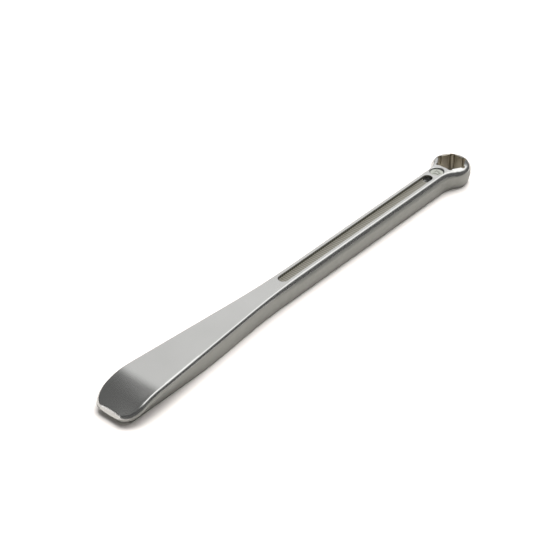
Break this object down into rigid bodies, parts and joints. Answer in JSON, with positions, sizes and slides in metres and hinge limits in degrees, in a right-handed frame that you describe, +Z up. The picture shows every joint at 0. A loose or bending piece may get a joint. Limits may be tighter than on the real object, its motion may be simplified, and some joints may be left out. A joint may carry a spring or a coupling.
{
  "type": "tire lever",
  "caption": "Forged tire lever with a dipped spoon tip, a channelled bar, a stepped hexagon box end and a round disc set in its neck.",
  "frame": {"origin": "middle of the lever's length and width, on the surface that it lies on", "axes": "+X along the lever toward the box end, +Y across it, +Z up out of the face with the disc"},
  "size_m": [0.252, 0.0242, 0.0109],
  "materials": {
    "forged_aluminium": "satin, tumbled after forging",
    "disc_aluminium": "satin, turned and blasted"
  },
  "bodies": {
    "root": {"lever_body": "forged_aluminium", "neck_disc": "disc_aluminium"}
  },
  "joints": []
}
